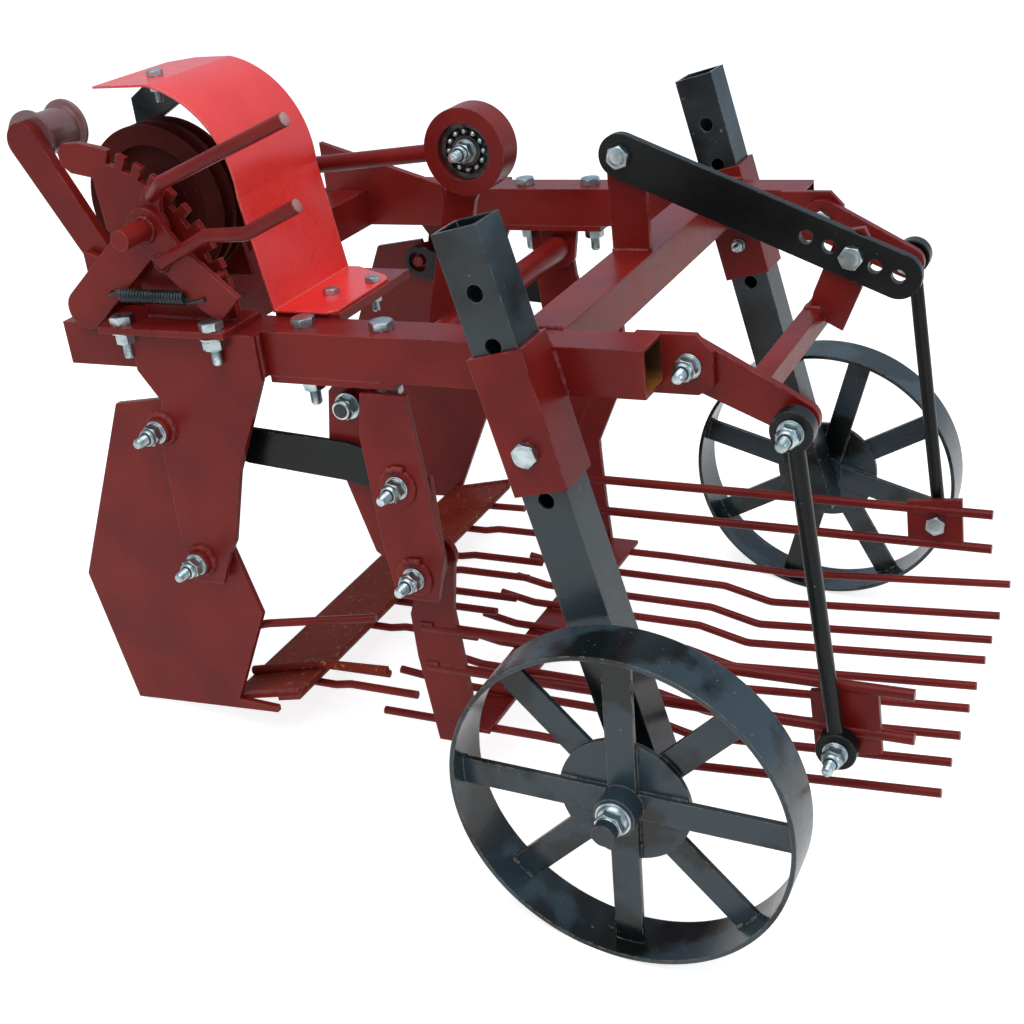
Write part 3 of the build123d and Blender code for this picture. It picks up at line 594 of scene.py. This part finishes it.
for hand, side_name, facing in HANDS:
    fasten(side_name + "_axle_nut", axle_nut, [((AXLE.x, hand * AXLE_NUT_Y, AXLE.z), facing)],
           "frame", size=0.9)
    spoke_runs = []
    for index in range(SPOKES):
        angle = math.radians(FIRST_SPOKE[side_name] + 360.0 / SPOKES * index)
        level = Vector((0.0, hand * SPOKE_FACES[index % 2], 0.0))
        along = Vector((math.cos(angle), 0.0, math.sin(angle)))
        across = Vector((-math.sin(angle), 0.0, math.cos(angle)))
        for edge_side in (-12.5, 12.5):
            foot = HUB + along * (DISC_EDGE - 16.0) + across * edge_side + level
            tip = HUB + along * (DISC_EDGE - 2.0) + across * edge_side + level
            spoke_runs.append(bead(foot, tip, 2.2))
        for end_side in (-11.0, 11.0):
            outer = HUB + along * HOOP_EDGE + across * end_side + level
            inner = HUB + along * HOOP_EDGE + across * end_side * 0.4 + level
            spoke_runs.append(bead(outer, inner, 2.6))
    joined(side_name + "_wheel_welds", spoke_runs, wheel_black_sky_sheen,
           side_name + "_wheel")

# Arm brackets and the bolts through the beams
# A plate with a standing ear, drawn up against the underside of each beam by
# two plated bolts. Their heads sit on the beam, their nuts below the plate.

dress(maroon, "left_arm_bracket", "right_arm_bracket", "left_rocker_lug", "right_rocker_lug")
through = [(x, y) for y in (-230.0, 230.0) for x in (247.0, 324.0)]
fasten("beam_bolt_heads", bolt_head, [((x, y, 0), UP) for x, y in through], "frame")
fasten("beam_bolt_nuts", plain_nut, [((x, y, -46), DOWN) for x, y in through], "frame")

# Cheek straps, cheeks and link strips
# Flat plate straps bolted to the beams, with the cheeks hung on pivot bolts
# inside them. Each bolt stands in a painted boss under two washers and a lock
# nut. A black strip of flat bar links each cheek to its swinging arm.

dress(maroon, "left_cheek_strap", "right_cheek_strap", "left_cheek", "right_cheek")
fresh_black = enamel("fresh_black_paint", (0.0030, 0.0036, 0.0036, 1), (0.0070, 0.0085, 0.0085, 1),
                     (0.09, 0.10, 0.10, 1), (0.20, 0.19, 0.18, 1), gloss=0.30, chips=0.69,
                     sheen=0.24)
dress(fresh_black, "left_link_strip", "right_link_strip")
CHEEK_BOLTS = ((98.0, -93.0), (110.0, -226.0))
boss = as_one(turned([(0.0, 16.6), (1.2, 16.2), (2.4, 14.4), (3.2, 11.8), (8.0, 11.4),
                      (9.0, 10.8)]))
STRAP_FACE = 262.0
cheek_seats = [((x, hand * STRAP_FACE, z), facing)
               for hand, side_name, facing in HANDS for x, z in CHEEK_BOLTS]
fasten("cheek_bosses", boss, cheek_seats, "frame", maroon)
lock("cheek_nuts", [((x, y + facing.y * 9.0, z), facing) for (x, y, z), facing in cheek_seats],
     "frame")
strap_runs = []
for (x, y, z), facing in cheek_seats:
    strap_runs += ring_bead((x, y + facing.y * 1.5, z), 13.6, 2.9, 12)
for y in (-256.0, 256.0):
    for x in (84.0, 216.0):
        strap_runs.append(bead((x, y, -38), (x, y, -2), 2.4))
welds("strap_welds", strap_runs)

# Knife and comb
# A flat blade between the cheeks, its paint rubbed brown and flecked by the
# soil, with a comb of round rods welded behind it that lifts the crop.

blade_paint = enamel("worn_blade", (0.175, 0.020, 0.012, 1), (0.225, 0.032, 0.018, 1),
                     (0.34, 0.16, 0.11, 1), (0.36, 0.18, 0.10, 1), gloss=0.58, chips=0.61,
                     sheen=0.06)
dress(blade_paint, "knife")
dress(maroon, "comb")
blade_runs = []
for y in (-243.0, 243.0):
    blade_runs.append(bead((97, y, -388.5), (176, y, -371.5), 2.6))
welds("blade_welds", blade_runs, "knife_rocker")

# Swinging arms, torsion tube and ring lever
# Two arms of flat plate on a round tube under the beams. A lever on the tube
# stands up to the ring, and welded bosses take the bolts of the arms.

SWING = (285.0, -67.0)
ARM_BOLTS = ((330.0, -134.0), (333.0, -222.0))
dress(maroon, "left_swing_arm", "right_swing_arm", "torsion_tube", "ring_lever")
arm_boss = as_one(turned([(0.0, 18.0), (1.2, 17.8), (2.4, 16.6), (2.5, 14.0)], 32))
arm_seats = [((x, -252.0, z), LEFT) for x, z in ARM_BOLTS]
arm_seats += [((x, 232.0, z), RIGHT) for x, z in ARM_BOLTS]
fasten("arm_bosses", arm_boss, arm_seats, "swing_frame", maroon)
arm_nut_seats = [((x, y + facing.y * 2.4, z), facing) for (x, y, z), facing in arm_seats]
# the right link strip lies outside its arm, so the nut there stands on the strip
arm_nut_seats[2] = ((ARM_BOLTS[0][0], 240.8, ARM_BOLTS[0][1]), RIGHT)
lock("arm_nuts", arm_nut_seats, "swing_frame")
swing_nut = as_one(turned([(0.0, 12.2), (1.8, 12.2), (2.2, 11.8)]),
                   hexagon(2.2, 10.0, both_ends=True),
                   turned([(9.4, 9.2), (11.6, 9.0), (13.0, 8.0), (13.2, 6.6)]))
swing_end = as_one(turned([(12.6, 6.5), (13.8, 6.4), (14.2, 5.2)], 24))
swing_bush = as_one(turned([(0.0, 12.6), (1.0, 11.4), (7.5, 11.2), (8.0, 10.8)]))
for hand, side_name, facing in HANDS:
    foot = (SWING[0], hand * 232.0, SWING[1])
    seat = (SWING[0], hand * 240.0, SWING[1])
    fasten(side_name + "_swing_bush", swing_bush, [(foot, facing)], "swing_frame", maroon)
    fasten(side_name + "_swing_nut", swing_nut, [(seat, facing)], "swing_frame")
    fasten(side_name + "_swing_bolt_end", swing_end, [(seat, facing)], "swing_frame", nylon)
arm_runs = []
for (x, y, z), facing in arm_seats:
    for lean in (-9.0, -3.0, 3.0):
        spot = (x + lean * 0.8, y + facing.y * 2.0, z + 18.0 - abs(lean) * 0.3)
        arm_runs.append(bead(spot, (spot[0] + 5.0, spot[1], spot[2]), 3.0))
for y in (-226.0, 226.0, -11.0, -3.0):
    arm_runs += ring_bead((SWING[0], y, SWING[1]), 13.8, 2.6, 12)
welds("arm_welds", arm_runs, "swing_frame")

# Connecting rod and ring bearing
# A turned housing at each end of a round bar. The rear one holds an open ball
# bearing on the lever's pin, with its balls in a pressed cage and a lock nut.

RING = (320.0, 101.0)
BALLS = 12
BALL_CIRCLE = 17.5
dress(maroon, "connecting_rod")
race = plating("bearing_steel", (0.09, 0.085, 0.085, 1), (0.035, 0.03, 0.028, 1), 0.36, 0.7)
dress(race, "ring_bearing")
bpy.ops.object.select_all(action="DESELECT")
bpy.ops.mesh.primitive_uv_sphere_add(segments=16, ring_count=10, radius=3.1)
one_ball = bpy.context.object
bpy.ops.object.shade_smooth()
ball_rivet = turned([(-2.2, 2.2), (3.0, 2.2), (3.7, 1.2)], 16)
ball = as_one(one_ball, ball_rivet)
ball_seats = []
for k in range(BALLS):
    angle = 2 * math.pi * k / BALLS
    ball_seats.append(((RING[0] + BALL_CIRCLE * math.cos(angle), -34.2,
                        RING[1] + BALL_CIRCLE * math.sin(angle)), LEFT))
fasten("bearing_balls", ball, ball_seats, "swing_frame")
lock("ring_nut", [((RING[0], -36, RING[1]), LEFT)], "swing_frame")
rod_runs = []
JOURNAL = (66.0, 79.0)
HOUSING = 39.5
BAR_ROUND = 8.2
length = math.dist(JOURNAL, RING)
unit = ((RING[0] - JOURNAL[0]) / length, (RING[1] - JOURNAL[1]) / length)
for (x, z), step in ((JOURNAL, HOUSING), (RING, -HOUSING)):
    base = (x + unit[0] * step, z + unit[1] * step)
    for k in range(12):
        points = [(base[0] - unit[1] * BAR_ROUND * math.cos(a), -27 + BAR_ROUND * math.sin(a),
                   base[1] + unit[0] * BAR_ROUND * math.cos(a))
                  for a in (2 * math.pi * k / 12, 2 * math.pi * (k + 1) / 12)]
        rod_runs.append(bead(points[0], points[1], 2.4))
welds("rod_welds", rod_runs, "connecting_rod")

# Sieve
# Round rods over and under one cross strip, welded to it and to a plate side at
# each end. The sides hang on the arms in front and on the rear rods behind.

STRIP = (316.0, 357.0)
SIEVE_RODS = (186, 119, 71, 32, -15, -54, -99, -141, -187)
dress(maroon, "sieve_grid", "left_sieve_side", "right_sieve_side")
sieve_runs = []
for y in SIEVE_RODS:
    level = -416.5 if abs(y) > 180 else -411.5
    for beside in (-3.4, 3.4):
        sieve_runs.append(bead((STRIP[0] + 8, y + beside, level),
                               (STRIP[1] - 8, y + beside, level), 1.9))
for hand, rails in ((-1, (-302.0, -345.0)), (1, (-339.0, -379.0))):
    for z in rails:
        sieve_runs.append(bead((305, hand * 208.2, z + 4.6), (317, hand * 208.2, z + 4.6), 2.4))
welds("sieve_welds", sieve_runs, "sieve")

# Rear rods
# Black round bar with a bored eye at each end, free on the bolts of the rocker
# above and of the sieve below, each under a washer and a lock nut.

ROCKER_END = (668.0, -68.0)
ROD_END = (697.0, -354.0)
dress(fresh_black, "left_rear_rod", "right_rear_rod")
eye = as_one(turned([(0.0, 16.6), (0.8, 17.4), (14.4, 17.4), (15.2, 16.6)], 32))
for hand, side_name, facing in HANDS:
    fasten(side_name + "_rod_eyes", eye,
           [((x, hand * 213.4, z), facing) for x, z in (ROCKER_END, ROD_END)],
           side_name + "_hanger", fresh_black)
lock("rocker_end_nuts", both_sides(ROCKER_END[0], 228.6, ROCKER_END[1]), "frame")
lock("rod_end_nuts", both_sides(ROD_END[0], 228.6, ROD_END[1]), "sieve")
fasten("rod_end_heads", bolt_head, both_sides(ROD_END[0], 202, ROD_END[1], outward=False),
       "sieve")

# Rear rocker and adjusting bar
# Two flat levers on lugs at the beam ends, with a flat cross bar and a middle
# plate welded between them. A black bar with five holes, bolted to an upright
# on the rear cross tube, sets how steep the rocker stands.

ROCKER = (583.0, -26.0)
BAR_FRONT = (458.0, 89.0)
BAR_BOLT = (663.0, 2.0)
dress(maroon, "rear_rocker", "bar_upright")
dress(fresh_black, "adjusting_bar")
bar_bolts = (BAR_FRONT, BAR_BOLT)
lock("rocker_nuts", both_sides(ROCKER[0], 210, ROCKER[1]), "frame")
fasten("rocker_heads", bolt_head,
       both_sides(ROCKER[0], 195, ROCKER[1], outward=False)
       + both_sides(ROCKER_END[0], 195, ROCKER_END[1], outward=False)
       + [((x, -11, z), LEFT) for x, z in bar_bolts], "frame")
lock("bar_nuts", [((x, 3, z), RIGHT) for x, z in bar_bolts], "frame")
rocker_runs = []
for y in (-3.0, 3.0):
    rocker_runs.append(bead((443, y, 0.5), (476, y, 0.5), 2.8))
    rocker_runs.append(bead((620, y, -48), (634, y, -48), 2.6))
for y in (-195.0, 195.0):
    rocker_runs.append(bead((618, y, -65), (618, y, -49), 2.6))
    rocker_runs.append(bead((636, y, -65), (636, y, -49), 2.6))
    rocker_runs.append(bead((619, y, -48), (635, y, -48), 2.6))
welds("rocker_welds", rocker_runs)

# Eccentric shaft, bearing plates and belt pulley
# A steel shaft in two upright bearing plates on the front cross tube, with a
# cast pulley for two belts on its left end, painted over in a darker red.

dress(maroon, "left_shaft_plate", "right_shaft_plate")
steel = plating("shaft_steel", (0.42, 0.42, 0.43, 1), (0.26, 0.25, 0.25, 1), 0.36)
dress(steel, "drive_shaft")
pulley_paint = enamel("pulley_paint", (0.055, 0.009, 0.008, 1), (0.085, 0.014, 0.011, 1),
                      (0.16, 0.05, 0.04, 1), (0.14, 0.07, 0.05, 1), gloss=0.50, chips=0.66,
                      sheen=0.06)
dress(pulley_paint, "drive_pulley")

# Belt guard
# Sheet steel rolled over the pulley and folded out at its foot, in bright red
# gloss. Plated bolts hold it to a black strip above and to the beam's foot.

guard = enamel("guard_paint", (0.76, 0.024, 0.018, 1), (0.84, 0.034, 0.027, 1),
               (0.88, 0.28, 0.25, 1), (0.50, 0.14, 0.12, 1), gloss=0.27, chips=0.78, sheen=0.85)
dress(guard, "belt_guard")
dress(black, "guard_strip")
dress(maroon, "guard_foot")
SMALL = 0.68
guard_places = [(99, -173, 201, 196), (236, -164, 6, -4), (258, -128, 6, -4)]
fasten("guard_bolt_heads", bolt_head, [((x, y, top), UP) for x, y, top, low in guard_places],
       "frame", size=SMALL)
fasten("guard_bolt_nuts", plain_nut, [((x, y, low), DOWN) for x, y, top, low in guard_places],
       "frame", size=SMALL)

# Belt tensioner
# A notched plate on a base bolted beside the beam, a lever that swings the belt
# roller, and a pawl that a coil spring pulls into the notches. Round handles
# are welded to the lever and to the pawl.

# Pinkish-grey paint on the roller, paler than the frame's red all over: partly rubbed paint, partly
# a painted highlight.
rolled = enamel("roller_paint_rub_and_highlight", (0.180, 0.070, 0.070, 1), (0.300, 0.180, 0.185, 1),
                (0.46, 0.28, 0.27, 1), (0.34, 0.24, 0.22, 1), gloss=0.24, chips=0.70, sheen=0.9)
dress(maroon, "tension_base", "notched_quadrant", "roller_arm", "pawl_lever")
dress(rolled, "tension_roller")
base_seats = [(80.0, -262.0), (178.0, -266.0)]
fasten("base_bolt_heads", bolt_head, [((x, y, 6), UP) for x, y in base_seats], "frame")
fasten("base_bolt_nuts", plain_nut, [((x, y, 0), DOWN) for x, y in base_seats], "frame")
tension_runs = [bead((96, -237, 6), (188, -237, 6), 2.8), bead((96, -243, 6), (188, -243, 6), 2.8)]
tension_runs += ring_bead((126, -262.5, 91), 10.0, 2.6, 12)
tension_runs += ring_bead((137, -262, 62), 6.6, 2.6, 10)
welds("tension_welds", tension_runs)

HANDLE_ENDS = (
    # (X, Z) of the end, and of the bend before it
    ((286.0, 181.0), (154.0, 131.0)),
    ((284.0, 113.0), (229.0, 89.0)),
)
bare_end = enamel("rubbed_end_paint", (0.36, 0.16, 0.15, 1), (0.46, 0.27, 0.25, 1),
                  (0.60, 0.45, 0.42, 1), (0.20, 0.06, 0.05, 1), gloss=0.45, chips=0.66, sheen=0.3)
rod_end = as_one(turned([(0.0, 5.7), (0.3, 5.6), (0.8, 4.8)], 24))
end_seats = [((x, -263, z), Vector((x - before_x, 0.0, z - before_z)).normalized())
             for (x, z), (before_x, before_z) in HANDLE_ENDS]
fasten("handle_ends", rod_end, end_seats, "frame", bare_end)

COIL_RADIUS = 5.2
COIL_PITCH = 3.1
COIL_TURNS = 22
COIL_START = (86.0, -263.0, 32.0)
WIRE_RADIUS = 1.25
bpy.ops.object.select_all(action="DESELECT")
bpy.ops.mesh.primitive_circle_add(vertices=8, radius=WIRE_RADIUS, fill_type="NOTHING")
coil = bpy.context.object
bpy.ops.object.mode_set(mode="EDIT")
bpy.ops.mesh.select_all(action="SELECT")
bpy.ops.transform.rotate(value=math.radians(90.0), orient_axis="X",
                         center_override=(0.0, 0.0, 0.0))
bpy.ops.transform.translate(value=(COIL_RADIUS, 0.0, 0.0))
bpy.ops.object.mode_set(mode="OBJECT")
wound = coil.modifiers.new("wound", "SCREW")
wound.axis = "Z"
wound.screw_offset = COIL_PITCH
wound.iterations = COIL_TURNS
wound.steps = 16
wound.render_steps = 16
wound.use_smooth_shade = True
bpy.ops.object.modifier_apply(modifier="wound")
coil.data.transform(STANCE @ Matrix.Translation(COIL_START)
                    @ Matrix.Rotation(math.radians(90.0), 4, "Y"))
HOOKS = (
    [(71, -250.5, 32), (71, -260, 32), (73, -263.5, 32), (79, -264.5, 34), (86.5, -263, 37)],
    [(174, -256.5, 31), (174, -263, 31), (172, -266, 31), (164, -266, 29), (153, -263, 27)],
)
hook_wires = []
for points in HOOKS:
    line = bpy.data.curves.new("hook", "CURVE")
    line.dimensions = "3D"
    line.bevel_depth = WIRE_RADIUS
    line.bevel_resolution = 3
    line.use_fill_caps = True
    path = line.splines.new("NURBS")
    path.points.add(len(points) - 1)
    for point, where in zip(path.points, points):
        point.co = (*where, 1.0)
    path.use_endpoint_u = True
    path.order_u = 3
    path.resolution_u = 6
    hook = bpy.data.objects.new("hook", line)
    bpy.context.scene.collection.objects.link(hook)
    only(hook)
    bpy.ops.object.convert(target="MESH")
    hook.data.transform(STANCE)
    hook_wires.append(hook)
spring = joined("spring_coil", [coil] + hook_wires, black, "frame")
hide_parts("tension_spring")

# Patterns
# The fasteners and the ripple that were copied are taken away.

for pattern in (ripple, bolt_head, lock_nut, lock_insert, plain_nut, axle_nut, boss, arm_boss,
                swing_nut, swing_end, swing_bush, ball, eye, rod_end):
    bpy.data.objects.remove(pattern)
